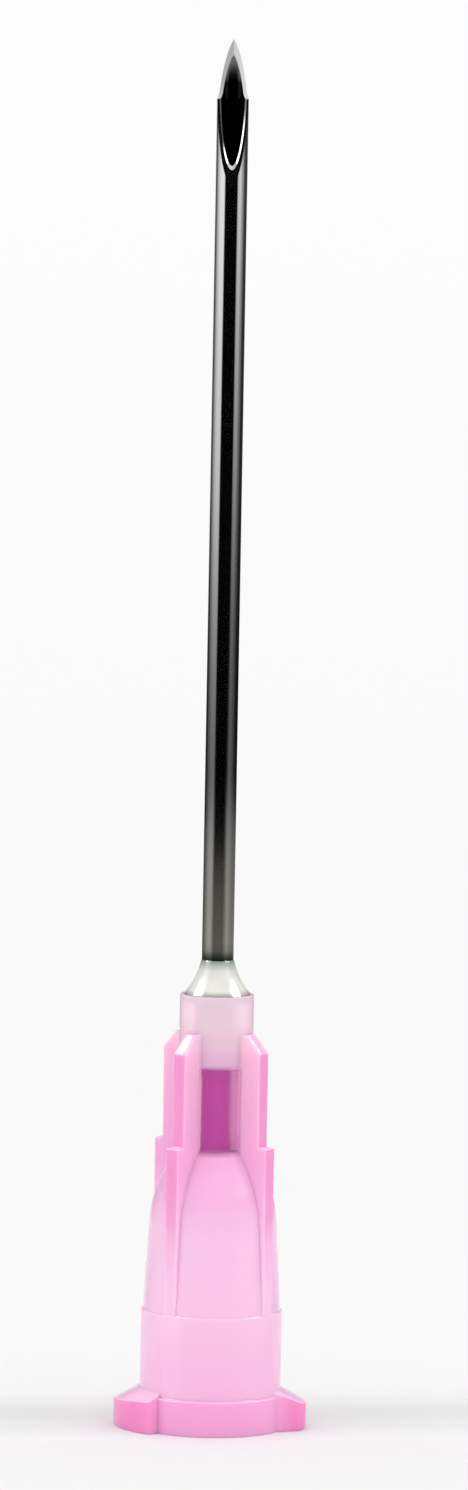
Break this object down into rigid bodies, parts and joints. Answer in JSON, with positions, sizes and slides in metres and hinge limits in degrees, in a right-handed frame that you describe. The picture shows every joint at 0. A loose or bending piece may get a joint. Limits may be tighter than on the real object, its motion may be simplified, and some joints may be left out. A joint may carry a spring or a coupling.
{
  "type": "hypodermic needle",
  "caption": "Hypodermic needle: a bevelled steel tube bonded into a ribbed pink hub with a conical socket and lock lugs, standing on its hub.",
  "frame": {"origin": "on the axis at the open end of the hub, which the needle stands on", "axes": "+Z along the tube towards the point; the ground face of the point looks along -Y"},
  "size_m": [0.0078, 0.0058, 0.0556],
  "materials": {
    "pink_hub": "translucent pink polypropylene, injection moulded, softly glossy",
    "steel_tube": "drawn and polished stainless steel, ground point",
    "clear_resin": "clear cured bonding resin, glossy"
  },
  "bodies": {
    "root": {"hub": "pink_hub", "cannula": "steel_tube", "adhesive": "clear_resin"}
  },
  "joints": []
}
